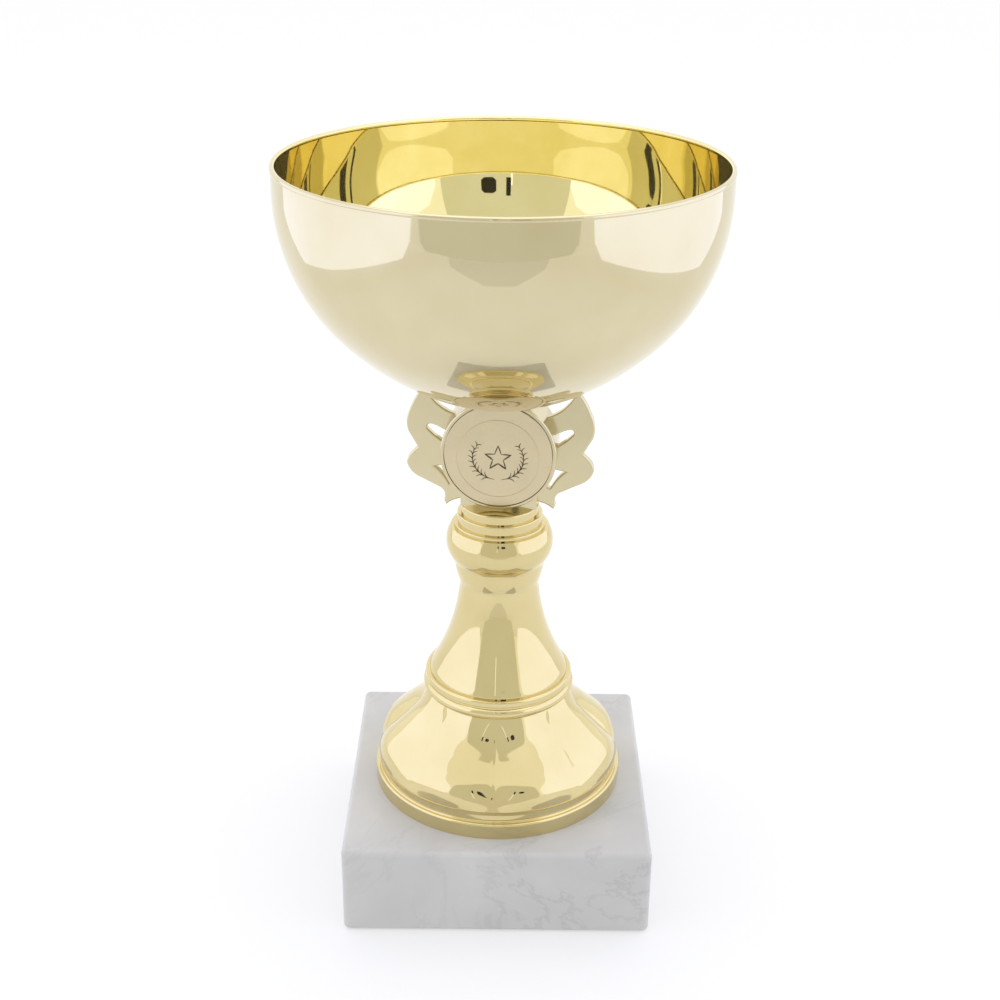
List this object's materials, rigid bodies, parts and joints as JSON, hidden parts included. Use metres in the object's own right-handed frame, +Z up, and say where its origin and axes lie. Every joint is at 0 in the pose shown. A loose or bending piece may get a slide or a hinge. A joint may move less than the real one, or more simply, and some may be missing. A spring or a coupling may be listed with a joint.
{
  "type": "cup trophy",
  "caption": "Cup trophy: a thin gilt bowl on a winged emblem holder, a turned stem and a fluted foot, clamped to a square marble block by a tie rod.",
  "frame": {"origin": "centre of the marble block's underside, on the tie rod's axis", "axes": "+Z up along the tie rod to the bowl, -Y towards the side that shows the emblem, +X to the right of someone who faces the emblem"},
  "size_m": [0.1, 0.1, 0.1775],
  "materials": {
    "marble": "polished pale grey-white marble with faint veins and a few dark specks",
    "gilt_plastic": "vacuum-metallised pale gold, mirror bright under clear lacquer",
    "emblem_aluminium": "pale gold anodised aluminium foil, stamped with fine dark lines",
    "adhesive_foam": "thin white double-sided sticky foam",
    "gilt_steel": "thin spun steel, plated bright gold and lacquered",
    "zinc_steel": "bright zinc-plated steel"
  },
  "bodies": {
    "root": {"marble_base": "marble", "foot": "gilt_plastic", "stem": "gilt_plastic", "emblem_holder": "gilt_plastic", "emblem_adhesive": "adhesive_foam", "emblem": "emblem_aluminium", "bowl": "gilt_steel", "tie_rod": "zinc_steel", "bowl_washer": "zinc_steel", "bowl_nut": "zinc_steel", "base_washer": "zinc_steel", "base_nut": "zinc_steel"}
  },
  "joints": []
}
